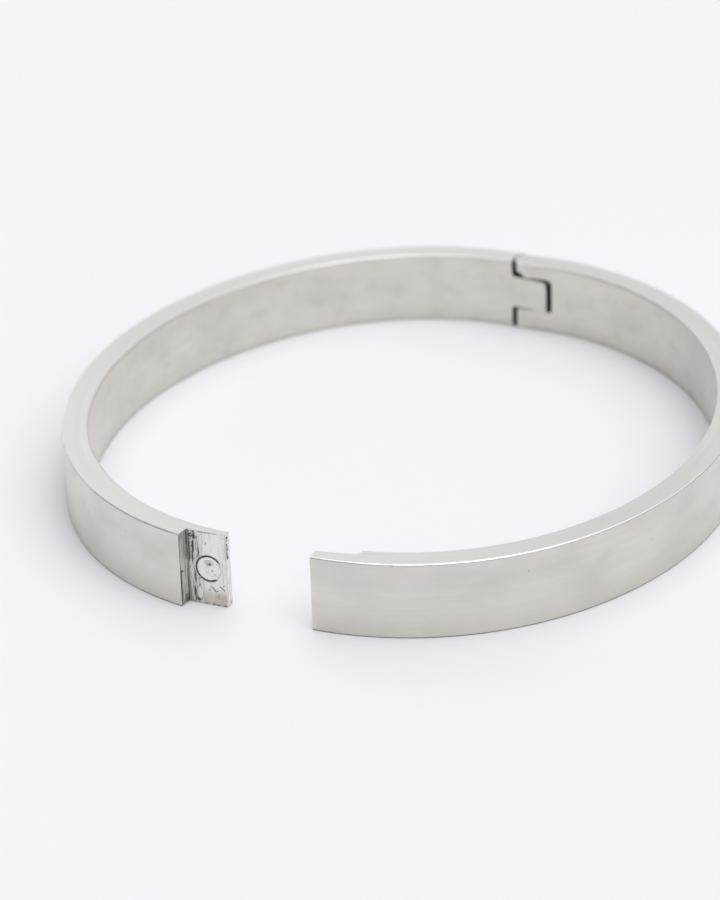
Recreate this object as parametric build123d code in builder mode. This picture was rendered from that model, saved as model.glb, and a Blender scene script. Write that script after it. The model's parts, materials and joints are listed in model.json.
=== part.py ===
from build123d import *
import math
import os

os.makedirs("parts", exist_ok=True)

# Hinged oval bangle of flat steel bar, lying on its edge.
# Z is up along the bar's width, +Y is towards the hinge. Millimetres.

# Band
bar_width = 7.0
bar_thick = 2.4
oval_half_across = 26.8
oval_half_long = 33.2
edge_break = 0.14

# The hinge sits a little round from the end of the oval's long axis, the clasp is opposite it
hinge_clock = 7.9
rest_opening = 10.5
pin_x = -0.18
pin_y = 32.75

# Hinge knuckles, distances from the pin axis along the bar
ear_reach = 1.60
ear_inner_reach = 1.05
ear_inner_slant = 0.55
shoulder_reach = 1.74
shoulder_relief = 0.28
tongue_reach = 2.48
slot_reach = 2.62
knuckle_low = 2.20
knuckle_high = 5.40
knuckle_side_gap = 0.12
knuckle_high_tip_round = 0.55
knuckle_low_tip_round = 0.30
slot_high_corner_round = 0.50
slot_low_corner_round = 0.20
root_fillet = 0.32
ear_corner_round = 0.95
ear_low_corner_round = 0.15
pin_radius = 0.50
pin_end_recess = 0.01
pin_end_chamfer = 0.04
bore_clearance = 0.03

# Lap clasp, distances from the line through the pin and the middle of the clasp
clasp_shoulder_x = -1.32
clasp_shoulder_lean = 8.0
clasp_end_gap = 0.06
clasp_face_gap = 0.06
clasp_face_lift = 0.20
clasp_face_draft = 4.0
clasp_tongue_end_x = 2.40
clasp_tongue_bevel = 0.10
clasp_root_x = 2.72
clasp_root_fillet = 0.55
corner_groove = 0.12

# Magnets
magnet_radius = 1.14
magnet_x = 0.70
pocket_radius = 1.22
adhesive_thick = 0.08
tongue_magnet_thick = 0.46
lap_magnet_thick = 0.60
magnet_sink = 0.01
magnet_edge_chamfer = 0.04

outer_across = oval_half_across + bar_thick / 2
outer_long = oval_half_long + bar_thick / 2
inner_across = oval_half_across - bar_thick / 2
inner_long = oval_half_long - bar_thick / 2

# Where the centreline of the oval passes through the pin, and the bar's direction there
clock = math.radians(hinge_clock)
oval_radius = 1.0 / math.hypot(math.sin(clock) / oval_half_across, math.cos(clock) / oval_half_long)
slope_x = oval_radius * math.sin(clock) / oval_half_across**2
slope_y = oval_radius * math.cos(clock) / oval_half_long**2
bar_lean = hinge_clock - math.degrees(math.atan2(slope_x, slope_y))

# Each half is drawn closed in a frame whose origin is the pin, and that frame is turned open
half_turn = math.radians(rest_opening / 2)
left_frame = Plane(
    origin=(pin_x, pin_y, 0),
    x_dir=(math.cos(half_turn), -math.sin(half_turn), 0),
    z_dir=(0, 0, 1),
)
right_frame = Plane(
    origin=(pin_x, pin_y, 0),
    x_dir=(math.cos(half_turn), math.sin(half_turn), 0),
    z_dir=(0, 0, 1),
)
left_bar_frame = left_frame.rotated((0, 0, bar_lean))
right_bar_frame = right_frame.rotated((0, 0, bar_lean))
left_clasp_frame = left_frame.shift_origin(left_frame.from_local_coords((0, -2 * oval_radius, 0)))
right_clasp_frame = right_frame.shift_origin(right_frame.from_local_coords((0, -2 * oval_radius, 0)))
left_face_frame = left_clasp_frame.rotated((0, 0, clasp_face_draft))
right_face_frame = right_clasp_frame.rotated((0, 0, clasp_face_draft))

left_elevation = Plane(
    origin=left_bar_frame.origin,
    x_dir=left_bar_frame.x_dir,
    z_dir=-left_bar_frame.y_dir,
)
right_elevation = Plane(
    origin=right_bar_frame.origin,
    x_dir=right_bar_frame.x_dir,
    z_dir=-right_bar_frame.y_dir,
)
slot_low = knuckle_low - knuckle_side_gap
slot_high = knuckle_high + knuckle_side_gap
face_y = clasp_face_lift
lap_y = clasp_face_lift - clasp_face_gap
lean = math.tan(math.radians(clasp_shoulder_lean))
shoulder_slant = shoulder_relief / (bar_thick / 2)
ear_cut_x = ear_inner_reach + ear_inner_slant * bar_thick / 2
tongue_seat = Plane(
    origin=left_face_frame.from_local_coords((magnet_x, face_y, bar_width / 2)),
    x_dir=left_face_frame.x_dir,
    z_dir=-left_face_frame.y_dir,
)
lap_seat = Plane(
    origin=right_face_frame.from_local_coords((magnet_x, lap_y, bar_width / 2)),
    x_dir=right_face_frame.x_dir,
    z_dir=right_face_frame.y_dir,
)
tongue_pocket = magnet_sink + tongue_magnet_thick + adhesive_thick
lap_pocket = magnet_sink + lap_magnet_thick + adhesive_thick

# Room the two ears need in the left half: a plan shape and a side shape, intersected
with BuildPart() as ear_room:
    with BuildSketch(left_bar_frame) as ear_room_plan:
        Circle(shoulder_reach)
        with Locations((4, 0)):
            Rectangle(8, 8)
        with BuildLine() as shoulder_outline:
            Polyline(
                (0, 0),
                (-shoulder_reach, 0),
                (4 * shoulder_slant - shoulder_reach, -4),
                (0, -4),
                close=True,
            )
        make_face()
    extrude(amount=bar_width + 1)
    with BuildSketch(left_elevation) as ear_room_side:
        with Locations(((8 - shoulder_reach) / 2, bar_width / 2)):
            Rectangle(8 + shoulder_reach, bar_width + 2)
        with Locations((tongue_reach - 5, (knuckle_low + knuckle_high) / 2)):
            Rectangle(10, knuckle_high - knuckle_low, mode=Mode.SUBTRACT)
        high_tip = ear_room_side.vertices().sort_by_distance((tongue_reach, knuckle_high, 0))[0]
        fillet(high_tip, radius=knuckle_high_tip_round)
        low_tip = ear_room_side.vertices().sort_by_distance((tongue_reach, knuckle_low, 0))[0]
        fillet(low_tip, radius=knuckle_low_tip_round)
    extrude(amount=6, both=True, mode=Mode.INTERSECT)

# Room the tongue needs in the right half, with the ears' rounded tips
with BuildPart() as tongue_room:
    with BuildSketch(right_bar_frame) as tongue_room_plan:
        Circle(slot_reach)
        with Locations((-4, 0)):
            Rectangle(8, 8)
        with Locations((slot_reach / 2, -2)):
            Rectangle(slot_reach, 4)
    extrude(amount=bar_width + 1)
    extrude(to_extrude=tongue_room_plan.sketch, amount=-1)
    with BuildSketch(right_elevation) as tongue_room_side:
        with Locations((-4 - ear_reach / 2, bar_width / 2)):
            Rectangle(8 - ear_reach, bar_width + 2)
        with Locations(((slot_reach - 8) / 2, (knuckle_low + knuckle_high) / 2)):
            Rectangle(slot_reach + 8, slot_high - slot_low)
        high_end = tongue_room_side.vertices().sort_by_distance((slot_reach, slot_high, 0))[0]
        fillet(high_end, radius=slot_high_corner_round)
        low_end = tongue_room_side.vertices().sort_by_distance((slot_reach, slot_low, 0))[0]
        fillet(low_end, radius=slot_low_corner_round)
    extrude(amount=6, both=True, mode=Mode.INTERSECT)

# Left half: bar, centre knuckle at the hinge and thin tongue at the clasp
with BuildPart() as left_half:
    with BuildSketch(left_frame) as left_band:
        with Locations((0, -oval_radius)):
            Ellipse(outer_across, outer_long, rotation=hinge_clock)
            Ellipse(inner_across, inner_long, rotation=hinge_clock, mode=Mode.SUBTRACT)
    extrude(amount=bar_width)
    fillet(left_half.edges(), radius=edge_break)
    with BuildSketch(left_frame) as left_open_side:
        with Locations((34, -oval_radius)):
            Rectangle(62, 90)
    extrude(amount=bar_width, mode=Mode.SUBTRACT)
    with BuildSketch(left_bar_frame) as left_knuckle_tip:
        with Locations((4, 0)):
            Rectangle(8, 8)
        Circle(tongue_reach, mode=Mode.SUBTRACT)
        with Locations((tongue_reach / 2, -2)):
            Rectangle(tongue_reach, 4, mode=Mode.SUBTRACT)
    extrude(amount=bar_width, mode=Mode.SUBTRACT)
    add(ear_room.part, mode=Mode.SUBTRACT)
    high_root_edges = left_half.edges().filter_by_position(Axis.Z, knuckle_high - 0.01, knuckle_high + 0.01)
    high_root_edges = high_root_edges.filter_by(
        lambda edge: -shoulder_reach - 0.01 < left_bar_frame.to_local_coords(edge.center()).X < -1
    )
    fillet(high_root_edges, radius=root_fillet)
    low_root_edges = left_half.edges().filter_by_position(Axis.Z, knuckle_low - 0.01, knuckle_low + 0.01)
    low_root_edges = low_root_edges.filter_by(
        lambda edge: -shoulder_reach - 0.01 < left_bar_frame.to_local_coords(edge.center()).X < -1
    )
    fillet(low_root_edges, radius=root_fillet)
    with BuildSketch(left_frame) as left_bore:
        Circle(pin_radius + bore_clearance)
    extrude(amount=bar_width, mode=Mode.SUBTRACT)
    with BuildSketch(left_face_frame) as lap_room:
        with BuildLine() as lap_room_outline:
            Polyline(
                (clasp_shoulder_x - 6 * lean, -6),
                (clasp_shoulder_x + face_y * lean, face_y),
                (clasp_shoulder_x + (face_y + corner_groove) * lean, face_y + corner_groove),
                (clasp_shoulder_x + face_y * lean + corner_groove, face_y + corner_groove),
                (clasp_shoulder_x + face_y * lean + corner_groove, face_y),
                (clasp_tongue_end_x - clasp_tongue_bevel, face_y),
                (clasp_tongue_end_x, face_y + clasp_tongue_bevel),
                (clasp_tongue_end_x, 6),
                (8, 6),
                (8, -6),
                close=True,
            )
        make_face()
    extrude(amount=bar_width, mode=Mode.SUBTRACT)
    with BuildSketch(tongue_seat) as tongue_seat_hole:
        Circle(pocket_radius)
    extrude(amount=-tongue_pocket, mode=Mode.SUBTRACT)
left_half.part.label = "left_half"
export_step(left_half.part, "parts/left_half.step")

# Right half: bar, two ears at the hinge and the outer lap at the clasp
with BuildPart() as right_half:
    with BuildSketch(right_frame) as right_band:
        with Locations((0, -oval_radius)):
            Ellipse(outer_across, outer_long, rotation=hinge_clock)
            Ellipse(inner_across, inner_long, rotation=hinge_clock, mode=Mode.SUBTRACT)
    extrude(amount=bar_width)
    fillet(right_half.edges(), radius=edge_break)
    with BuildSketch(right_frame) as right_open_side:
        with Locations((-34, -oval_radius)):
            Rectangle(62, 90)
    extrude(amount=bar_width, mode=Mode.SUBTRACT)
    with BuildSketch(right_bar_frame) as ear_tips:
        with Locations((-4, 0)):
            Rectangle(8, 8)
        Circle(ear_reach, mode=Mode.SUBTRACT)
    extrude(amount=bar_width, mode=Mode.SUBTRACT)
    add(tongue_room.part, mode=Mode.SUBTRACT)
    high_ear_edge = right_half.edges().filter_by(GeomType.CIRCLE).filter_by(
        lambda edge: round(edge.radius - ear_reach, 3) == 0 and round(edge.center().Z - slot_high, 3) == 0
    )
    fillet(high_ear_edge, radius=ear_corner_round)
    low_ear_edge = right_half.edges().filter_by(GeomType.CIRCLE).filter_by(
        lambda edge: round(edge.radius - ear_reach, 3) == 0 and round(edge.center().Z - slot_low, 3) == 0
    )
    fillet(low_ear_edge, radius=ear_low_corner_round)
    with BuildSketch(right_bar_frame) as ear_inner_cut:
        with BuildLine() as ear_inner_outline:
            Polyline(
                (4 * ear_inner_slant - ear_cut_x, -4),
                (-ear_cut_x, 0),
                (-8, 0),
                (-8, -4),
                close=True,
            )
        make_face()
    extrude(amount=bar_width, mode=Mode.SUBTRACT)
    with BuildSketch(right_frame) as right_bore:
        Circle(pin_radius)
    extrude(amount=bar_width, mode=Mode.SUBTRACT)
    with BuildSketch(right_face_frame) as tongue_space:
        with BuildLine() as tongue_space_outline:
            Polyline(
                (clasp_shoulder_x + clasp_end_gap - 6 * lean, -6),
                (clasp_shoulder_x + clasp_end_gap + lap_y * lean, lap_y),
                (clasp_root_x, lap_y),
                (clasp_root_x, 6),
                (-8, 6),
                (-8, -6),
                close=True,
            )
        make_face()
        lap_root_corners = tongue_space.vertices().group_by(Axis.X)[-1]
        fillet(lap_root_corners.sort_by(Axis.Y)[0], radius=clasp_root_fillet)
    extrude(amount=bar_width, mode=Mode.SUBTRACT)
    with BuildSketch(lap_seat) as lap_seat_hole:
        Circle(pocket_radius)
    extrude(amount=-lap_pocket, mode=Mode.SUBTRACT)
right_half.part.label = "right_half"
export_step(right_half.part, "parts/right_half.step")

# Hinge pin, pressed through both ears and free in the centre knuckle
with BuildPart() as hinge_pin:
    with BuildSketch(left_frame.offset(pin_end_recess)) as pin_section:
        Circle(pin_radius)
    extrude(amount=bar_width - 2 * pin_end_recess)
    chamfer(hinge_pin.edges().filter_by(GeomType.CIRCLE), length=pin_end_chamfer)
hinge_pin.part.label = "hinge_pin"
export_step(hinge_pin.part, "parts/hinge_pin.step")

# Disc magnets, each flush in its pocket on a thin bed of glue
with BuildPart() as tongue_magnet:
    with BuildSketch(tongue_seat.offset(-magnet_sink)) as tongue_magnet_section:
        Circle(magnet_radius)
    extrude(amount=-tongue_magnet_thick)
    chamfer(tongue_magnet.edges().filter_by(GeomType.CIRCLE), length=magnet_edge_chamfer)
tongue_magnet.part.label = "tongue_magnet"
export_step(tongue_magnet.part, "parts/tongue_magnet.step")

with BuildPart() as tongue_adhesive:
    with BuildSketch(tongue_seat.offset(-tongue_pocket)) as tongue_adhesive_section:
        Circle(magnet_radius)
    extrude(amount=adhesive_thick)
tongue_adhesive.part.label = "tongue_adhesive"
export_step(tongue_adhesive.part, "parts/tongue_adhesive.step")

with BuildPart() as lap_magnet:
    with BuildSketch(lap_seat.offset(-magnet_sink)) as lap_magnet_section:
        Circle(magnet_radius)
    extrude(amount=-lap_magnet_thick)
    chamfer(lap_magnet.edges().filter_by(GeomType.CIRCLE), length=magnet_edge_chamfer)
lap_magnet.part.label = "lap_magnet"
export_step(lap_magnet.part, "parts/lap_magnet.step")

with BuildPart() as lap_adhesive:
    with BuildSketch(lap_seat.offset(-lap_pocket)) as lap_adhesive_section:
        Circle(magnet_radius)
    extrude(amount=adhesive_thick)
lap_adhesive.part.label = "lap_adhesive"
export_step(lap_adhesive.part, "parts/lap_adhesive.step")
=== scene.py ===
import json
import math

import bmesh
import bpy
import numpy as np
from mathutils import Matrix, Vector


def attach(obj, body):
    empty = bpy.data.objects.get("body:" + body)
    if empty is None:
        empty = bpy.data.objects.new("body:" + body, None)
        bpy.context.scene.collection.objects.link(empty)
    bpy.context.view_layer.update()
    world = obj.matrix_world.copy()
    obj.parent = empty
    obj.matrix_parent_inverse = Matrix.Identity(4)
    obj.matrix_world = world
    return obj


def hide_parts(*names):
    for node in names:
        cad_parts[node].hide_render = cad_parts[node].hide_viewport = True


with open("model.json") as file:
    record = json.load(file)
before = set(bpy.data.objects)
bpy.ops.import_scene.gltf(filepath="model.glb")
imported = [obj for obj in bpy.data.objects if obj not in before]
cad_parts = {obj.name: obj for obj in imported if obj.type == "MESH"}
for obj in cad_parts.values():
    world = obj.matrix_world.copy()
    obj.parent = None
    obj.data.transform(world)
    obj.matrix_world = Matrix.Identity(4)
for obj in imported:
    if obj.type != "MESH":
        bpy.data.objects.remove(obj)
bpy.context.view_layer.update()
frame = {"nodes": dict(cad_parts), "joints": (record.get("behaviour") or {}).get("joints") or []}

MM = 0.001

# The bar and the oval, in millimetres, as the CAD has them
BAR_WIDTH = 7.0
HALF_ACROSS = 26.8
HALF_LONG = 33.2
MEAN_RADIUS = (HALF_ACROSS + HALF_LONG) / 2
HINGE_CLOCK = 7.9
OVAL_RADIUS = 1.0 / math.hypot(
    math.sin(math.radians(HINGE_CLOCK)) / HALF_ACROSS,
    math.cos(math.radians(HINGE_CLOCK)) / HALF_LONG,
)
HINGE = frame["joints"][0]
PIN = Vector(HINGE["pos_m"]) / MM
REST_OPENING = -HINGE["range_deg"][0]

# The clasp, in millimetres from its middle, in the frame of its flat faces
FACE_DRAFT = 4.0
FACE_Y = 0.20
SHOULDER_X = -1.32
SHOULDER_LEAN = math.tan(math.radians(8.0))
TONGUE_END_X = 2.40
TONGUE_BEVEL = 0.10
LAP_ROOT_X = 2.17
LAP_Y = 0.14
LAP_END_X = -1.26
MAGNET_X = 0.70
MAGNET_Z = BAR_WIDTH / 2
MAGNET_RADIUS = 1.14
POCKET_RADIUS = 1.22


def turned(x, y, degrees):
    a = math.radians(degrees)
    return x * math.cos(a) - y * math.sin(a), x * math.sin(a) + y * math.cos(a)


class ClaspFrame:
    """The frame of one half's flat clasp face: p along the face, q inwards, z up, in millimetres."""

    def __init__(self, half_turn):
        x, y = turned(0.0, -2.0 * OVAL_RADIUS, half_turn)
        self.origin = (PIN.x + x, PIN.y + y)
        self.turn = half_turn + FACE_DRAFT

    def point(self, p, q, z):
        x, y = turned(p, q, self.turn)
        return Vector(((self.origin[0] + x) * MM, (self.origin[1] + y) * MM, z * MM))


LEFT_CLASP = ClaspFrame(-REST_OPENING / 2)
RIGHT_CLASP = ClaspFrame(REST_OPENING / 2)


# ---------------------------------------------------------------- shader helpers

class Shader:
    """A node material with its Principled shader and short helpers for wiring it."""

    def __init__(self, name):
        self.mat = bpy.data.materials.new(name)
        self.mat.use_nodes = True
        self.tree = self.mat.node_tree
        self.bsdf = self.tree.nodes["Principled BSDF"]

    def put(self, socket, value):
        if isinstance(value, bpy.types.NodeSocket):
            self.tree.links.new(value, socket)
        else:
            socket.default_value = value

    def node(self, kind, inputs=None, **settings):
        n = self.tree.nodes.new(kind)
        for key, value in settings.items():
            setattr(n, key, value)
        for key, value in (inputs or {}).items():
            self.put(n.inputs[key], value)
        return n

    def math(self, operation, a, b=0.0, clamp=False):
        return self.node("ShaderNodeMath", {0: a, 1: b}, operation=operation, use_clamp=clamp).outputs[0]

    def scaled(self, vector, factors):
        n = self.node("ShaderNodeVectorMath", {0: vector, 1: factors}, operation="MULTIPLY")
        return n.outputs[0]

    def noise(self, vector, scale=1.0, detail=3.0, roughness=0.55):
        values = {"Vector": vector, "Scale": scale, "Detail": detail, "Roughness": roughness}
        return self.node("ShaderNodeTexNoise", values).outputs[0]

    def spots(self, vector, scale=1.0):
        return self.node("ShaderNodeTexVoronoi", {"Vector": vector, "Scale": scale}).outputs["Distance"]

    def ramp(self, value, low, high, out_low=0.0, out_high=1.0):
        values = {0: value, 1: low, 2: high, 3: out_low, 4: out_high}
        return self.node("ShaderNodeMapRange", values, clamp=True).outputs[0]

    def mix(self, factor, a, b):
        n = self.node("ShaderNodeMix", data_type="RGBA")
        self.put(n.inputs[0], factor)
        self.put(n.inputs[6], a)
        self.put(n.inputs[7], b)
        return n.outputs[2]

    def bump(self, height, distance, strength=1.0, normal=None):
        values = {"Height": height, "Distance": distance, "Strength": strength}
        if normal is not None:
            values["Normal"] = normal
        return self.node("ShaderNodeBump", values).outputs[0]

    def set(self, **values):
        for key, value in values.items():
            self.put(self.bsdf.inputs[key.replace("_", " ")], value)


def object_coords(sh):
    return sh.node("ShaderNodeTexCoord").outputs["Object"]


def object_millimetres(sh):
    return sh.scaled(object_coords(sh), (1.0 / MM,) * 3)


def band_coords(sh, side):
    """Coordinates round the band, up its width and out from its middle, in about millimetres, and the
    radius in units of the oval, for the half on that side."""
    half_turn = side * REST_OPENING / 2
    x, y = turned(0.0, -OVAL_RADIUS, half_turn)
    mapping = sh.node(
        "ShaderNodeMapping",
        {
            "Vector": object_coords(sh),
            "Location": ((PIN.x + x) * MM, (PIN.y + y) * MM, 0.0),
            "Rotation": (0.0, 0.0, math.radians(HINGE_CLOCK + half_turn)),
            "Scale": (HALF_ACROSS * MM, HALF_LONG * MM, MM),
        },
        vector_type="TEXTURE",
    )
    parts = sh.node("ShaderNodeSeparateXYZ", {0: mapping.outputs[0]}).outputs
    flat = sh.node("ShaderNodeCombineXYZ", {0: parts[0], 1: parts[1]}).outputs[0]
    radius = sh.node("ShaderNodeVectorMath", {0: flat}, operation="LENGTH").outputs["Value"]
    angle = sh.math("ARCTAN2", parts[1], sh.math("MULTIPLY", parts[0], float(side)))
    around = sh.math("MULTIPLY", angle, MEAN_RADIUS)
    out = sh.math("MULTIPLY", radius, MEAN_RADIUS)
    return sh.node("ShaderNodeCombineXYZ", {0: around, 1: parts[2], 2: out}).outputs[0], radius


def hinge_slit_shade(sh):
    """1 on the walls of the hinge's slits, where shade is painted in: within 3.6 mm of the pin, walls
    that face along X, and level ones between the ears."""
    place = sh.node("ShaderNodeSeparateXYZ", {0: object_millimetres(sh)}).outputs
    normal = sh.node("ShaderNodeTexCoord").outputs["Normal"]
    facing = sh.node("ShaderNodeSeparateXYZ", {0: normal}).outputs
    dx, dy = sh.math("SUBTRACT", place[0], PIN.x), sh.math("SUBTRACT", place[1], PIN.y)
    away = sh.math("SQRT", sh.math("ADD", sh.math("MULTIPLY", dx, dx), sh.math("MULTIPLY", dy, dy)))
    across = sh.ramp(sh.math("ABSOLUTE", facing[0]), 0.62, 0.82)
    within = sh.math("MULTIPLY", sh.ramp(place[2], 1.4, 1.6), sh.ramp(place[2], 6.4, 6.2))
    level = sh.math("MULTIPLY", sh.ramp(sh.math("ABSOLUTE", facing[2]), 0.75, 0.9), within)
    return sh.math("MULTIPLY", sh.math("MAXIMUM", across, level), sh.ramp(away, 3.6, 3.2))


def brushed_steel(name, side):
    """Satin stainless bar: fine brushing round the band, faint smudges, a few pits and hairlines, a painted
    highlight on the upper edge break, and painted shade on the lower edge break and in the hinge's slits.
    """
    sh = Shader(name)
    band, radius = band_coords(sh, side)
    normal = sh.node("ShaderNodeNewGeometry").outputs["Normal"]
    up = sh.node("ShaderNodeSeparateXYZ", {0: normal}).outputs[2]
    edge_face = sh.ramp(sh.math("ABSOLUTE", up), 0.55, 0.9)
    inside = sh.ramp(radius, 1.0, 0.985)
    fine = sh.noise(sh.scaled(band, (0.30, 11.0, 11.0)), detail=4.0, roughness=0.7)
    coarse = sh.noise(sh.scaled(band, (0.07, 2.4, 2.4)), detail=3.0)
    smudge = sh.noise(sh.scaled(band, (0.16, 0.28, 0.28)), detail=2.0)
    cloud = sh.noise(sh.scaled(band, (0.45, 0.7, 0.7)), detail=3.0, roughness=0.6)
    hair = sh.noise(sh.scaled(band, (0.9, 26.0, 26.0)), detail=2.0)
    hair_line = sh.ramp(hair, 0.70, 0.76)
    pit = sh.math(
        "MULTIPLY",
        sh.ramp(sh.spots(sh.scaled(band, (0.8, 0.8, 0.8))), 0.075, 0.05),
        sh.ramp(sh.noise(sh.scaled(band, (0.35, 0.35, 0.35)), detail=1.0), 0.55, 0.60),
    )
    brush = sh.math("ADD", sh.math("MULTIPLY", fine, 0.45), sh.math("MULTIPLY", coarse, 0.55))

    wall = sh.mix(sh.ramp(brush, 0.3, 0.7), (0.686, 0.674, 0.616, 1), (0.748, 0.735, 0.677, 1))
    wall = sh.mix(sh.math("MULTIPLY", sh.ramp(smudge, 0.40, 0.68), 0.45), wall, (0.622, 0.612, 0.561, 1))
    worn = sh.math("MULTIPLY", sh.math("MULTIPLY", sh.ramp(cloud, 0.52, 0.72), inside), 0.55)
    wall = sh.mix(worn, wall, (0.598, 0.584, 0.529, 1))
    rim = sh.mix(sh.ramp(brush, 0.3, 0.7), (0.652, 0.654, 0.640, 1), (0.714, 0.716, 0.704, 1))
    colour = sh.mix(edge_face, wall, rim)
    colour = sh.mix(sh.math("MULTIPLY", hair_line, 0.20), colour, (0.80, 0.80, 0.79, 1))
    colour = sh.mix(sh.math("MULTIPLY", pit, 0.4), colour, (0.20, 0.185, 0.165, 1))
    # Painted highlight: the upper edge break is lightened almost to white and made a little rougher.
    top_edge_highlight = sh.math("MULTIPLY", sh.ramp(up, 0.22, 0.45), sh.ramp(up, 0.97, 0.88))
    colour = sh.mix(top_edge_highlight, colour, (0.95, 0.95, 0.94, 1))
    # Painted shade: the lower edge break is darkened nearly to black, standing in for the contact shadow it
    # reflects.
    low_edge_shade = sh.math("MULTIPLY", sh.ramp(up, -0.25, -0.6), sh.ramp(up, -0.97, -0.85))
    colour = sh.mix(sh.math("MULTIPLY", low_edge_shade, 0.85), colour, (0.10, 0.095, 0.085, 1))
    # Painted shade: the walls of the hinge's slits are darkened nearly to black.
    colour = sh.mix(sh.math("MULTIPLY", hinge_slit_shade(sh), 0.86), colour, (0.040, 0.042, 0.058, 1))

    rough = sh.math("ADD", sh.ramp(brush, 0.3, 0.7, 0.30, 0.40), sh.ramp(smudge, 0.35, 0.7, -0.03, 0.07))
    rough = sh.math("SUBTRACT", rough, sh.math("MULTIPLY", edge_face, 0.04))
    rough = sh.math("ADD", rough, sh.math("MULTIPLY", top_edge_highlight, 0.10))
    height = sh.math("SUBTRACT", brush, sh.math("MULTIPLY", pit, 3.0))
    tangent = sh.node("ShaderNodeTangent", direction_type="RADIAL", axis="Z").outputs[0]
    sh.set(
        Base_Color=colour,
        Metallic=1.0,
        Roughness=rough,
        Anisotropic=0.45,
        Tangent=tangent,
        Normal=sh.bump(height, 5e-6, 0.8),
    )
    return sh.mat


def worked_steel(name, body_colour, dirt_and_shade_colour, roughness, grain):
    """Steel left from the file or the cutter: the dirt and the painted shade follow the darkening attribute,
    the grain is fine.
    """
    sh = Shader(name)
    at = object_millimetres(sh)
    grime_and_shade = sh.node("ShaderNodeAttribute", attribute_name="grime_and_shade").outputs["Fac"]
    stain = sh.node("ShaderNodeAttribute", attribute_name="stain").outputs["Fac"]
    mark = sh.noise(sh.scaled(at, grain), detail=4.0, roughness=0.65)
    speck = sh.noise(at, scale=7.0, detail=3.0, roughness=0.7)
    light = tuple(min(1.0, c * 1.12) for c in body_colour) + (1,)
    base = sh.mix(sh.ramp(mark, 0.35, 0.65), body_colour + (1,), light)
    base = sh.mix(sh.math("MULTIPLY", stain, 0.75), base, (0.47, 0.405, 0.31, 1))
    # The darkening attribute carries real dirt and, round the magnets, painted shade.
    dirt_and_shade = sh.math("ADD", grime_and_shade, sh.math("MULTIPLY", sh.ramp(speck, 0.56, 0.74), 0.25), clamp=True)
    colour = sh.mix(dirt_and_shade, base, dirt_and_shade_colour + (1,))
    rough = sh.ramp(mark, 0.3, 0.7, roughness, roughness + 0.12)
    rough = sh.math("ADD", rough, sh.math("MULTIPLY", grime_and_shade, 0.2))
    sh.set(
        Base_Color=colour,
        Metallic=sh.ramp(dirt_and_shade, 0.2, 1.0, 1.0, 0.55),
        Roughness=rough,
        Normal=sh.bump(sh.math("ADD", mark, sh.math("MULTIPLY", speck, 0.5)), 1.2e-5, 0.8),
    )
    return sh.mat


def glue(name, tint):
    """Set clear epoxy, a little cloudy."""
    sh = Shader(name)
    at = object_millimetres(sh)
    cloud = sh.noise(at, scale=4.0, detail=4.0)
    deep = tuple(c * 0.85 for c in tint) + (1,)
    sh.set(
        Base_Color=sh.mix(sh.ramp(cloud, 0.35, 0.65), tint + (1,), deep),
        Roughness=sh.ramp(cloud, 0.3, 0.7, 0.18, 0.34),
        Transmission_Weight=0.10,
        IOR=1.5,
        Normal=sh.bump(cloud, 1e-5, 0.5),
    )
    return sh.mat


# ---------------------------------------------------------------- mesh helpers

def lattice_noise(seed, u, v):
    """Smooth repeatable noise from 0 to 1 at coordinates u, v, one lattice cell per unit."""
    table = np.random.RandomState(seed).rand(64, 64)
    iu, iv = np.floor(u).astype(int), np.floor(v).astype(int)
    fu, fv = u - iu, v - iv
    fu, fv = fu * fu * (3 - 2 * fu), fv * fv * (3 - 2 * fv)
    a, b = table[iu % 64, iv % 64], table[(iu + 1) % 64, iv % 64]
    c, d = table[iu % 64, (iv + 1) % 64], table[(iu + 1) % 64, (iv + 1) % 64]
    return (a * (1 - fu) + b * fu) * (1 - fv) + (c * (1 - fu) + d * fu) * fv


def smooth_step(x, low, high):
    t = np.clip((x - low) / (high - low), 0.0, 1.0)
    return t * t * (3 - 2 * t)


def fade(x, low, high):
    """1 below low, falling to 0 at high."""
    return 1.0 - smooth_step(x, low, high)


def hump(x, middle, width):
    """1 at the middle, dying away as a bell of that width."""
    return np.exp(-((x - middle) / width) ** 2)


def strongest(*layers):
    return np.maximum.reduce(layers)


def stroke(p, z, start, end, width):
    """1 along the segment from start to end, falling to 0 at width from it."""
    a, b = np.array(start), np.array(end)
    d = b - a
    t = np.clip(((p - a[0]) * d[0] + (z - a[1]) * d[1]) / (d @ d), 0.0, 1.0)
    away = np.hypot(p - a[0] - t * d[0], z - a[1] - t * d[1])
    return fade(away, 0.25 * width, width)


def patch_of(p, z, centre, reach):
    """1 in the middle of an oval patch, falling to 0 at its reach."""
    away = np.hypot((p - centre[0]) / reach[0], (z - centre[1]) / reach[1])
    return fade(away, 0.35, 1.0)


def noise_marks(seed, p, z, low, high):
    """Marks where the lattice noise rises from low to high."""
    return smooth_step(lattice_noise(seed, p, z), low, high)


def spaced(low, high, step):
    return np.linspace(low, high, int(round((high - low) / step)) + 1)


def link_mesh(name, verts, faces, attributes, material, body):
    """A closed mesh piece with smooth shading and outward normals, riding on its body."""
    mesh = bpy.data.meshes.new(name)
    mesh.from_pydata([tuple(v) for v in verts], [], faces)
    mesh.validate()
    for key, values in attributes.items():
        layer = mesh.attributes.new(key, "FLOAT", "POINT")
        layer.data.foreach_set("value", np.asarray(values, np.float32))
    bm = bmesh.new()
    bm.from_mesh(mesh)
    bmesh.ops.recalc_face_normals(bm, faces=bm.faces)
    bm.to_mesh(mesh)
    bm.free()
    mesh.polygons.foreach_set("use_smooth", [True] * len(mesh.polygons))
    obj = bpy.data.objects.new(name, mesh)
    bpy.context.scene.collection.objects.link(obj)
    mesh.materials.append(material)
    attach(obj, body)
    return obj


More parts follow.
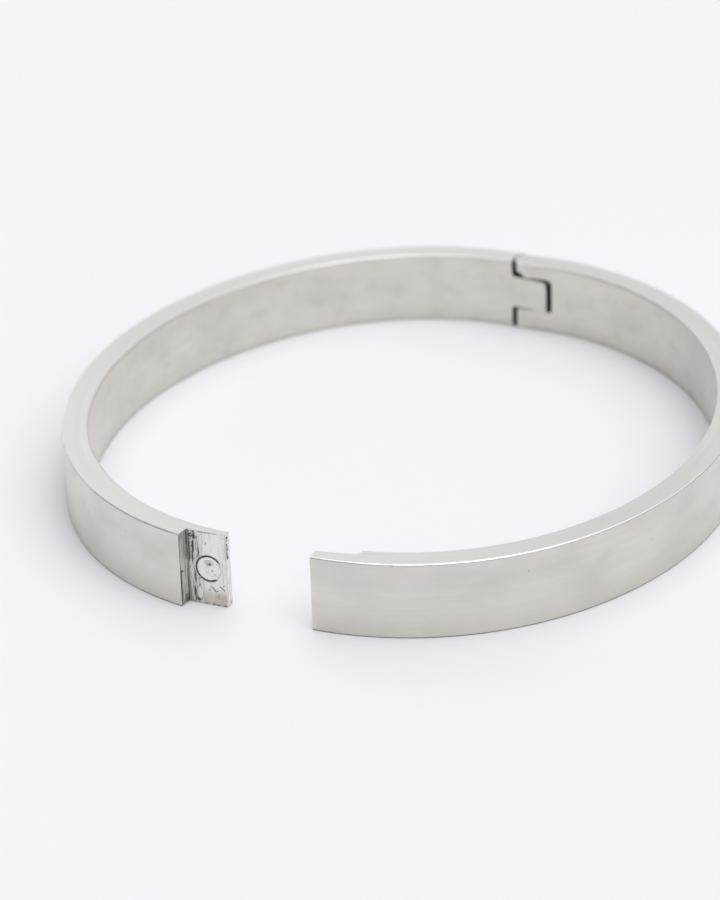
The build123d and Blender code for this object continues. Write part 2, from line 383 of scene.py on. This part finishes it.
def skin(name, columns, rows, place, relief, keep, depth, material, body):
    """A thin closed plate over a flat face. place(p, z, lift) gives the point, relief gives height,
    grime and painted shade together, and stain, keep says which grid cells are covered, and depth is how far
    the back sinks in."""
    p, z = np.meshgrid(columns, rows, indexing="ij")
    height, grime_and_shade, stain = relief(p, z)
    n_p, n_z = p.shape
    front = [place(p[i, j], z[i, j], height[i, j]) for i in range(n_p) for j in range(n_z)]
    back = [place(p[i, j], z[i, j], -depth) for i in range(n_p) for j in range(n_z)]
    count = n_p * n_z
    cell = keep(0.5 * (p[:-1, :-1] + p[1:, 1:]), 0.5 * (z[:-1, :-1] + z[1:, 1:]))
    faces = []
    for i in range(n_p - 1):
        for j in range(n_z - 1):
            if not cell[i, j]:
                continue
            a, b, c, d = i * n_z + j, (i + 1) * n_z + j, (i + 1) * n_z + j + 1, i * n_z + j + 1
            faces.append((a, b, c, d))
            faces.append((a + count, d + count, c + count, b + count))
            if i == 0 or not cell[i - 1, j]:
                faces.append((a, d, d + count, a + count))
            if i == n_p - 2 or not cell[i + 1, j]:
                faces.append((b, b + count, c + count, c))
            if j == 0 or not cell[i, j - 1]:
                faces.append((a, a + count, b + count, b))
            if j == n_z - 2 or not cell[i, j + 1]:
                faces.append((d, c, c + count, d + count))
    used = sorted({v for f in faces for v in f})
    new = {v: k for k, v in enumerate(used)}
    verts = front + back

    def on_both_sides(values):
        return np.concatenate([values.ravel(), values.ravel()])[used]

    return link_mesh(
        name,
        [verts[v] for v in used],
        [tuple(new[v] for v in f) for f in faces],
        {"grime_and_shade": on_both_sides(grime_and_shade), "stain": on_both_sides(stain)},
        material,
        body,
    )


# ---------------------------------------------------------------- worked clasp faces

def open_side(p, z):
    """1 along the part of the pocket's rim where the gap stays open, 0 where glue has filled it."""
    angle = np.degrees(np.arctan2(z - MAGNET_Z, p - MAGNET_X))
    return 1.0 - smooth_step(angle, -56.0, -44.0) * fade(angle, 16.0, 40.0)


# Burrs up the tongue's outer end corner: height, half length, strength
BURRS = (
    (6.62, 0.13, 1.0),
    (6.33, 0.07, 0.8),
    (5.98, 0.12, 0.95),
    (5.72, 0.09, 0.8),
    (5.48, 0.13, 0.9),
    (5.22, 0.10, 0.85),
    (4.98, 0.12, 0.8),
    (4.72, 0.16, 1.0),
)


def burr_row(across, z, at, sway, size):
    """The burrs as a row at one place across the face, swaying a little."""
    row = np.zeros_like(z)
    for z_at, reach, weight in BURRS:
        centre = (at + sway * math.sin(7.0 * z_at), z_at)
        row = np.maximum(row, weight * patch_of(across, z, centre, (size[0], reach * size[1])))
    return row


def end_relief(q, z):
    """The tongue's end face: filed like the outer face, with the burrs running down its outer corner."""
    streak = noise_marks(51, q * 9.0, z * 0.8, 0.60, 0.95)
    burr = burr_row(q, z, 0.43, 0.06, (0.26, 1.45))
    line = 0.45 * smooth_step(q, 0.86, 0.93) * fade(z, 4.0, 4.6)
    low = 0.35 * fade(z, 0.3, 1.2) * noise_marks(52, q * 4.0, z * 3.0, 0.3, 0.8)
    dark = np.maximum(0.25 * streak + line + low, burr)
    height = 0.012 - 0.004 * streak - 0.008 * burr
    return np.clip(height, 0.002, 0.014), np.clip(dark, 0, 1), np.clip(0.6 * low, 0, 1)


# Dark smears on the tongue's outer face: middle, reach, strength
SMEARS = (
    ((-0.72, 5.45), (0.12, 0.75), 0.85),
    ((-0.80, 4.45), (0.12, 0.70), 0.75),
    ((-0.55, 6.35), (0.45, 0.28), 0.45),
    ((-0.23, 5.05), (0.08, 0.55), 0.55),
    ((0.53, 5.90), (0.10, 0.22), 0.35),
    ((0.25, 5.95), (0.07, 0.25), 0.30),
    ((-0.60, 2.60), (0.14, 0.90), 0.60),
    ((-0.72, 1.10), (0.12, 0.80), 0.65),
    ((-0.45, 0.45), (0.40, 0.30), 0.45),
    ((0.69, 1.46), (0.13, 0.12), 0.70),
    ((1.55, 1.00), (0.12, 0.30), 0.25),
)

# Zigzag scratches near the tongue's foot, and the bright lines beside them: start, end, width
SCRATCHES = (
    ((0.86, 1.84), (1.30, 1.37), 0.085),
    ((1.72, 1.90), (2.14, 1.58), 0.075),
    ((1.30, 1.37), (1.52, 1.50), 0.05),
    ((2.00, 2.02), (2.12, 2.05), 0.06),
)
GLINTS = (
    ((0.98, 1.90), (1.45, 1.48), 0.08),
    ((1.55, 1.62), (1.75, 1.98), 0.07),
    ((1.40, 1.28), (1.75, 1.42), 0.07),
    ((1.86, 1.95), (2.20, 1.70), 0.05),
    ((-0.96, 4.20), (-0.93, 0.60), 0.07),
)


def tongue_relief(p, z):
    """The filed outer face of the tongue: file marks up its width, thickest by the step, and end burrs."""
    by_step = fade(p, -0.85, 0.55)
    patch = lattice_noise(13, p * 1.4, z * 0.7)
    streak = noise_marks(11, p * 11.0, z * 0.9, 0.50, 0.88)
    hatch = noise_marks(12, p * 24.0, z * 2.6, 0.52, 0.90)
    speck = noise_marks(16, p * 13.0, z * 11.0, 0.60, 0.88)
    shade = by_step * (0.35 + 0.65 * patch)
    cut = streak * (0.10 + 0.75 * by_step)
    fine_cut = hatch * (0.05 + 0.55 * by_step)
    peck = speck * (0.10 + 0.55 * by_step) * (0.4 + 0.6 * patch)

    high_corner = fade(p, -1.10, -1.01) * smooth_step(z, 3.6, 4.2)
    low_corner = 0.7 * fade(p, -1.12, -1.06) * fade(z, 1.8, 2.8)
    corner = strongest(high_corner, low_corner)
    scrawl = noise_marks(17, p * 8.0, z * 8.0, 0.45, 0.75) * patch_of(p, z, (-0.90, 6.55), (0.45, 0.6))
    smear = strongest(*(weight * patch_of(p, z, centre, reach) for centre, reach, weight in SMEARS))
    scratch = strongest(*(stroke(p, z, *line) for line in SCRATCHES))
    glint = strongest(*(stroke(p, z, *line) for line in GLINTS))

    burr = 0.20 * burr_row(p, z, 2.26, 0.03, (0.20, 1.0))
    edge_line = 0.35 * hump(p, 2.04, 0.03) * fade(z, 4.2, 4.6) * smooth_step(z, 1.9, 2.3)
    dashes = noise_marks(18, p * 2.6, np.zeros_like(z), 0.30, 0.55)
    top_line = dashes * hump(z, 6.93, 0.045) * smooth_step(p, -0.5, -0.1) * fade(p, 1.3, 1.6)
    bottom = fade(z, 0.06, 0.30) * noise_marks(19, p * 4.0, z * 3.0, 0.25, 0.6)
    bottom = bottom * smooth_step(p, 0.0, 0.5)

    oval = np.hypot((p + 0.26) / 0.31, (z - 1.05) / 0.66)
    drop = fade(oval, 0.80, 1.0)
    drop_rim = hump(oval, 1.02, 0.10)
    drop_pecks = noise_marks(20, p * 9.0, z * 9.0, 0.6, 0.85) * patch_of(p, z, (-0.28, 1.75), (0.4, 0.35))

    ring = np.hypot(p - MAGNET_X, z - MAGNET_Z)
    # Painted shade: the face is darkened beside the pocket's gap wherever the gap stays open.
    rim = hump(ring, POCKET_RADIUS + 0.01, 0.06) * open_side(p, z)
    lip = hump(ring, POCKET_RADIUS + 0.12, 0.04) * open_side(p, z)

    dark = 0.62 * cut + 0.50 * fine_cut + 0.65 * peck + 0.24 * shade + smear + 0.8 * scrawl
    dark = dark * (1.0 - 0.75 * drop) * (1.0 - 0.85 * glint)
    dark = strongest(dark, 0.92 * scratch, burr, corner, 0.95 * rim)
    dark = dark + edge_line + 0.75 * top_line + 0.55 * bottom + 0.30 * drop_rim + 0.5 * drop_pecks
    height = 0.018 - 0.010 * cut - 0.006 * fine_cut - 0.006 * peck - 0.010 * scratch - 0.010 * burr
    height = height + 0.004 * glint + 0.006 * drop - 0.004 * drop_rim + 0.004 * lip - 0.012 * rim
    stain = fade(z, 0.7, 1.7) * smooth_step(p, -0.2, 0.5) * (0.45 + 0.75 * patch)
    return np.clip(height, 0.002, 0.024), np.clip(dark, 0, 1), np.clip(stain + 0.5 * bottom, 0, 1)


def step_relief(q, z):
    """The cut face of the step beside the tongue: long deep cutter marks up its width."""
    broad = noise_marks(21, q * 6.5, z * 0.33, 0.42, 0.80)
    narrow = noise_marks(22, q * 11.0, z * 0.6, 0.50, 0.78)
    chips = noise_marks(23, q * 8.0, z * 2.6, 0.68, 0.95)
    outer_line = fade(q, -0.86, -0.70) * fade(z, 3.1, 3.6)
    nick = stroke(q, z, (-0.95, 3.35), (-0.60, 3.30), 0.12)
    glint = strongest(
        stroke(q, z, (-0.55, 6.3), (-0.50, 4.1), 0.14),
        stroke(q, z, (-0.42, 3.0), (-0.30, 1.0), 0.16),
        0.7 * stroke(q, z, (-0.10, 6.6), (-0.12, 5.2), 0.10),
    )
    low = patch_of(q, z, (-0.15, 0.45), (0.45, 0.75))
    dark = 0.40 * broad + 0.72 * narrow + 0.45 * chips
    dark = dark * (1.0 - 0.9 * glint) + 0.7 * outer_line + 0.8 * nick + 0.4 * low
    height = 0.018 - 0.010 * broad - 0.007 * narrow - 0.006 * chips + 0.004 * glint - 0.008 * nick
    return np.clip(height, 0.002, 0.022), np.clip(dark, 0, 1), np.clip(0.2 + 0.7 * low, 0, 1)


def lap_relief(p, z):
    """The milled inner face of the lap: lighter marks than the tongue's, and a rim of painted shade round
    its magnet.
    """
    patch = lattice_noise(33, p * 1.0, z * 0.7)
    cut = noise_marks(31, p * 8.0, z * 0.5, 0.62, 0.95) * (0.3 + 0.7 * patch)
    fine_cut = noise_marks(32, p * 20.0, z * 1.1, 0.68, 0.98)
    ring = np.hypot(p - MAGNET_X, z - MAGNET_Z)
    # Painted shade: a dark rim beside the gap round the magnet.
    rim = hump(ring, POCKET_RADIUS + 0.01, 0.05)
    height = 0.016 - 0.008 * cut - 0.004 * fine_cut - 0.008 * rim
    dark = 0.5 * cut + 0.3 * fine_cut + 0.8 * rim
    return np.clip(height, 0.002, 0.018), np.clip(dark, 0, 1), 0.25 * smooth_step(patch, 0.5, 0.9)


def outside_pocket(p, z):
    return np.hypot(p - MAGNET_X, z - MAGNET_Z) > POCKET_RADIUS


def whole_face(p, z):
    return np.ones_like(p, bool)


def tongue_point(p, z, lift):
    return LEFT_CLASP.point(p, FACE_Y - lift, z)


def end_point(q, z, lift):
    return LEFT_CLASP.point(TONGUE_END_X + lift, q, z)


def lap_point(p, z, lift):
    return RIGHT_CLASP.point(p, LAP_Y + lift, z)


def step_point(q, z, lift):
    """A point on the step face, q inwards from the outer face, lifted along the face's normal."""
    scale = 1.0 / math.hypot(1.0, SHOULDER_LEAN)
    p = SHOULDER_X + q * SHOULDER_LEAN + lift * scale
    return LEFT_CLASP.point(p, q - lift * SHOULDER_LEAN * scale, z)


def tongue_magnet_relief(p, z, r):
    """A knock with a dark pit near the top of the magnet's face, and pecks below it."""
    knock = patch_of(p, z, (0.72, 4.02), (0.62, 0.34))
    pit = patch_of(p, z, (0.78, 3.90), (0.20, 0.13))
    brow = hump(z + 0.25 * (p - 0.7) ** 2, 4.28, 0.05) * patch_of(p, z, (0.62, 4.25), (0.65, 0.3))
    peck = strongest(
        patch_of(p, z, (1.03, 3.34), (0.13, 0.17)),
        patch_of(p, z, (1.27, 3.00), (0.12, 0.12)),
        0.6 * patch_of(p, z, (0.45, 3.15), (0.10, 0.10)),
    )
    mottle = noise_marks(41, p * 6.0, z * 5.0, 0.5, 0.9)
    # Painted shade: the magnet's broken edge is darkened where the gap round it stays open; shine is a
    # painted highlight just inside it.
    edge = smooth_step(r, MAGNET_RADIUS - 0.07, MAGNET_RADIUS - 0.01) * open_side(p, z)
    shine = hump(r, MAGNET_RADIUS - 0.15, 0.05) * open_side(p, z)
    height = 0.014 - 0.030 * knock - 0.020 * pit - 0.012 * peck - 0.003 * mottle - 0.010 * edge
    dark = 0.16 * knock + 0.85 * pit + 0.30 * brow + 0.5 * peck + 0.14 * mottle + 0.9 * edge - 0.1 * shine
    return height, np.clip(dark, 0, 1), np.clip(0.5 * knock, 0, 1)


def lap_magnet_relief(p, z, r):
    """A plain plated face with painted shade on its edge."""
    mottle = noise_marks(42, p * 5.0, z * 5.0, 0.5, 0.9)
    edge = smooth_step(r, MAGNET_RADIUS - 0.07, MAGNET_RADIUS - 0.01)
    return 0.010 - 0.003 * mottle - 0.010 * edge, np.clip(0.15 * mottle + 0.8 * edge, 0, 1), 0.1 * mottle


def magnet_disc(name, place, relief, thickness, body):
    """A plated disc magnet with a worn face, a broken edge and a straight side, standing in its pocket."""
    segments = 160
    ring_step = 0.036
    angle = np.linspace(0.0, 2.0 * math.pi, segments, endpoint=False)
    edge_rings = ((MAGNET_RADIUS - 0.006, 0.012), (MAGNET_RADIUS, 0.040), (MAGNET_RADIUS, thickness))
    face_rings = [(r, None) for r in spaced(0.0, MAGNET_RADIUS - 0.02, ring_step)[1:]]
    rings = face_rings + list(edge_rings)
    height, dark, tint = relief(np.array([MAGNET_X]), np.array([MAGNET_Z]), np.zeros(1))
    verts = [place(MAGNET_X, MAGNET_Z, height[0])]
    grime_and_shade = [dark[0]]
    stain = [tint[0]]
    for r, depth in rings:
        p, z = MAGNET_X + r * np.cos(angle), MAGNET_Z + r * np.sin(angle)
        height, dark, tint = relief(p, z, np.full_like(p, r))
        lift = height if depth is None else np.full_like(p, -depth)
        verts.extend(place(p[k], z[k], lift[k]) for k in range(segments))
        grime_and_shade.extend(dark)
        stain.extend(tint)
    verts.append(place(MAGNET_X, MAGNET_Z, -thickness))
    grime_and_shade.append(0.0)
    stain.append(0.0)

    def vertex(ring, k):
        return 1 + ring * segments + k % segments

    last_ring = len(rings) - 1
    faces = []
    for k in range(segments):
        faces.append((0, vertex(0, k), vertex(0, k + 1)))
        for i in range(last_ring):
            faces.append((vertex(i, k), vertex(i + 1, k), vertex(i + 1, k + 1), vertex(i, k + 1)))
        faces.append((vertex(last_ring, k), len(verts) - 1, vertex(last_ring, k + 1)))
    return link_mesh(name, verts, faces, {"grime_and_shade": grime_and_shade, "stain": stain}, magnet_metal, body)


def glue_seep(name, place, start, end, height, body):
    """Glue squeezed up into the gap round a magnet, from one angle to the other, thinning at both ends."""
    steps = 90
    crest = MAGNET_RADIUS + 0.04
    foot_lift = 0.006
    bed_depth = 0.20
    profile = (
        (MAGNET_RADIUS - 0.045, 0.0),
        (MAGNET_RADIUS + 0.005, 0.8),
        (crest, 1.0),
        (POCKET_RADIUS + 0.01, 0.85),
        (POCKET_RADIUS + 0.075, 0.0),
    )
    bed = (POCKET_RADIUS - 0.005, MAGNET_RADIUS + 0.005)
    verts = []
    for i in range(steps + 1):
        t = i / steps
        swell = min(1.0, 6.0 * t, 6.0 * (1.0 - t))
        wave = 1.0 + 0.12 * math.sin(21.0 * t) + 0.08 * math.sin(47.0 * t)
        angle = math.radians(start + (end - start) * t)
        section = []
        for r, rise in profile:
            reach = crest + (r - crest) * (0.35 + 0.65 * swell) * wave
            section.append((reach, foot_lift + rise * (height - foot_lift) * swell))
        section.extend((r, -bed_depth) for r in bed)
        for r, lift in section:
            verts.append(place(MAGNET_X + r * math.cos(angle), MAGNET_Z + r * math.sin(angle), lift))
    n = len(profile) + len(bed)
    faces = [tuple(range(n)), tuple(range(steps * n, steps * n + n))]
    for i in range(steps):
        for j in range(n):
            k = (j + 1) % n
            faces.append((i * n + j, i * n + k, (i + 1) * n + k, (i + 1) * n + j))
    return link_mesh(name, verts, faces, {}, clear_glue, body)


steel_left = brushed_steel("brushed_steel_left", -1)
steel_right = brushed_steel("brushed_steel_right", 1)
filed_steel = worked_steel(
    "filed_steel", (0.865, 0.862, 0.84), (0.085, 0.078, 0.070), 0.38, (10.0, 10.0, 0.7)
)
cut_steel = worked_steel("cut_steel", (0.86, 0.85, 0.81), (0.085, 0.078, 0.068), 0.40, (8.0, 8.0, 0.5))
milled_steel = worked_steel("milled_steel", (0.70, 0.69, 0.665), (0.12, 0.11, 0.10), 0.36, (9.0, 9.0, 0.6))
magnet_metal = worked_steel("magnet_plate", (0.86, 0.855, 0.83), (0.10, 0.09, 0.078), 0.32, (6.0, 6.0, 2.5))
pin_metal = worked_steel("pin_steel", (0.68, 0.68, 0.665), (0.22, 0.21, 0.19), 0.34, (9.0, 9.0, 9.0))
clear_glue = glue("clear_glue", (0.90, 0.89, 0.86))

for node, material in {
    "left_half": steel_left,
    "right_half": steel_right,
    "hinge_pin": pin_metal,
    "lap_magnet": magnet_metal,
    "tongue_magnet": magnet_metal,
    "tongue_adhesive": clear_glue,
    "lap_adhesive": clear_glue,
}.items():
    mesh = frame["nodes"][node].data
    mesh.materials.clear()
    mesh.materials.append(material)

# Mesh spacing of the skins, the groove kept clear in the step's corner, and the skins' margins
GRID = 0.032
CORNER_GROOVE = 0.12
CORNER_P = SHOULDER_X + FACE_Y * SHOULDER_LEAN + CORNER_GROOVE
FACE_MARGIN = 0.03
CUT_MARGIN = 0.12
LAP_MARGIN = 0.06
END_INNER_Q = 0.95
STEP_OUTER_Q = -0.98
TONGUE_DISC_THICK = 0.465
LAP_DISC_THICK = 0.60

skin(
    "tongue_filed_face",
    spaced(CORNER_P + 0.01, TONGUE_END_X - TONGUE_BEVEL, GRID),
    spaced(FACE_MARGIN, BAR_WIDTH - FACE_MARGIN, GRID),
    tongue_point,
    tongue_relief,
    outside_pocket,
    depth=0.03,
    material=filed_steel,
    body="left",
)
skin(
    "tongue_end_face",
    spaced(FACE_Y + TONGUE_BEVEL + 0.01, END_INNER_Q, GRID),
    spaced(CUT_MARGIN, BAR_WIDTH - CUT_MARGIN, GRID),
    end_point,
    end_relief,
    whole_face,
    depth=0.03,
    material=filed_steel,
    body="left",
)
skin(
    "step_cut_face",
    spaced(STEP_OUTER_Q, FACE_Y - 0.01, GRID),
    spaced(CUT_MARGIN, BAR_WIDTH - CUT_MARGIN, GRID),
    step_point,
    step_relief,
    whole_face,
    depth=0.02,
    material=cut_steel,
    body="left",
)
skin(
    "lap_milled_face",
    spaced(LAP_END_X + 0.04, LAP_ROOT_X - 0.02, GRID * 1.5),
    spaced(LAP_MARGIN, BAR_WIDTH - LAP_MARGIN, GRID * 1.5),
    lap_point,
    lap_relief,
    outside_pocket,
    depth=0.02,
    material=milled_steel,
    body="right",
)
tongue_disc = magnet_disc(
    "tongue_magnet_disc", tongue_point, tongue_magnet_relief, TONGUE_DISC_THICK, "left"
)
lap_disc = magnet_disc("lap_magnet_disc", lap_point, lap_magnet_relief, LAP_DISC_THICK, "right")
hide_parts("tongue_magnet")
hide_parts("lap_magnet")
glue_seep("tongue_glue_seep", tongue_point, start=-58.0, end=36.0, height=0.019, body="left")
glue_seep("lap_glue_seep", lap_point, start=140.0, end=205.0, height=0.012, body="right")

# ---------------------------------------------------------------- studio

# The reference view: angles in degrees, distance in metres, lens, sensor and focus offset in millimetres
CAMERA_AZIMUTH = 23.46
CAMERA_ELEVATION = 25.38
CAMERA_ROLL = -2.08
CAMERA_DISTANCE = 0.34974
CAMERA_LENS = 149.4
CAMERA_SENSOR = 36.0
CAMERA_FSTOP = 45.0
CAMERA_TARGET = Vector((-5.24, 0.04, 0.0)) * MM
FOCUS_BEYOND_MAGNET = 4.0

# Soft lights on the sky: azimuth from +X and elevation in degrees, how tight, how strong
SOFT_LIGHTS = (
    (0.0, 90.0, 8.0, 2.80),
    (315.0, 40.0, 10.0, 1.67),
    (270.0, 40.0, 10.0, 0.25),
    (0.0, 40.0, 10.0, 0.86),
    (90.0, 40.0, 10.0, 1.10),
    (135.0, 12.0, 10.0, 1.42),
)

# How bright the far backdrop looks to the camera, close to the lit floor's own tone
BACKDROP = 0.905

# The floor's half side, in metres
FLOOR_HALF_SIZE = 3.0


def add_object(name, data):
    obj = bpy.data.objects.new(name, data)
    bpy.context.scene.collection.objects.link(obj)
    return obj


def add_camera():
    """The main camera, at the reference view, focused on the clasp."""
    data = bpy.data.cameras.new("main_camera")
    data.sensor_width = CAMERA_SENSOR
    data.lens = CAMERA_LENS
    data.clip_start = 0.01
    data.clip_end = 20.0
    cam = add_object("main_camera", data)
    az = math.radians(CAMERA_AZIMUTH)
    el = math.radians(CAMERA_ELEVATION)
    roll = math.radians(CAMERA_ROLL)
    back = Vector((math.sin(az) * math.cos(el), -math.cos(az) * math.cos(el), math.sin(el)))
    side = Vector((math.cos(az), math.sin(az), 0.0))
    up = back.cross(side)
    cam_x = side * math.cos(roll) + up * math.sin(roll)
    cam_y = up * math.cos(roll) - side * math.sin(roll)
    place = CAMERA_TARGET + back * CAMERA_DISTANCE
    cam.matrix_world = Matrix((cam_x, cam_y, back)).transposed().to_4x4()
    cam.location = place
    focus = add_object("focus_point", None)
    focus.location = LEFT_CLASP.point(MAGNET_X + FOCUS_BEYOND_MAGNET, 0.0, MAGNET_Z)
    data.dof.use_dof = True
    data.dof.focus_object = focus
    data.dof.aperture_fstop = CAMERA_FSTOP
    bpy.context.scene.camera = cam


def sky_light(tree, direction, azimuth, elevation, tightness, strength):
    """One soft light on the sky: brightest at its own direction, falling off as a power of the cosine."""
    az = math.radians(azimuth)
    el = math.radians(elevation)
    facing = tree.nodes.new("ShaderNodeVectorMath")
    facing.operation = "DOT_PRODUCT"
    tree.links.new(direction, facing.inputs[0])
    facing.inputs[1].default_value = (math.cos(az) * math.cos(el), math.sin(az) * math.cos(el), math.sin(el))
    value = facing.outputs["Value"]
    for operation, number in (("MAXIMUM", 0.0), ("POWER", tightness), ("MULTIPLY", strength)):
        step = tree.nodes.new("ShaderNodeMath")
        step.operation = operation
        tree.links.new(value, step.inputs[0])
        step.inputs[1].default_value = number
        value = step.outputs[0]
    return value


def add_sky():
    """A dome of broad soft lights, strongest overhead, with a plain pale backdrop for the camera."""
    world = bpy.data.worlds.new("studio")
    bpy.context.scene.world = world
    world.use_nodes = True
    tree = world.node_tree
    background = tree.nodes["Background"]
    direction = tree.nodes.new("ShaderNodeTexCoord").outputs["Generated"]
    total = sky_light(tree, direction, *SOFT_LIGHTS[0])
    for light in SOFT_LIGHTS[1:]:
        both = tree.nodes.new("ShaderNodeMath")
        tree.links.new(total, both.inputs[0])
        tree.links.new(sky_light(tree, direction, *light), both.inputs[1])
        total = both.outputs[0]
    seen = tree.nodes.new("ShaderNodeMix")
    tree.links.new(tree.nodes.new("ShaderNodeLightPath").outputs["Is Camera Ray"], seen.inputs[0])
    tree.links.new(total, seen.inputs[2])
    seen.inputs[3].default_value = BACKDROP
    tree.links.new(seen.outputs[0], background.inputs["Strength"])
    background.inputs["Color"].default_value = (1.0, 1.0, 1.0, 1.0)


def add_floor():
    """A wide pale matt floor with a faint grain."""
    bm = bmesh.new()
    bmesh.ops.create_grid(bm, x_segments=1, y_segments=1, size=FLOOR_HALF_SIZE)
    mesh = bpy.data.meshes.new("floor")
    bm.to_mesh(mesh)
    bm.free()
    floor = add_object("floor", mesh)
    sh = Shader("pale_floor")
    grain = sh.noise(object_coords(sh), scale=900.0, detail=2.0)
    sh.set(
        Base_Color=sh.mix(grain, (0.882, 0.874, 0.916, 1), (0.890, 0.882, 0.924, 1)),
        Roughness=0.9,
        Specular_IOR_Level=0.1,
    )
    floor.data.materials.append(sh.mat)


add_camera()
add_sky()
add_floor()
view = bpy.context.scene.view_settings
view.view_transform = "Standard"
view.look = "None"
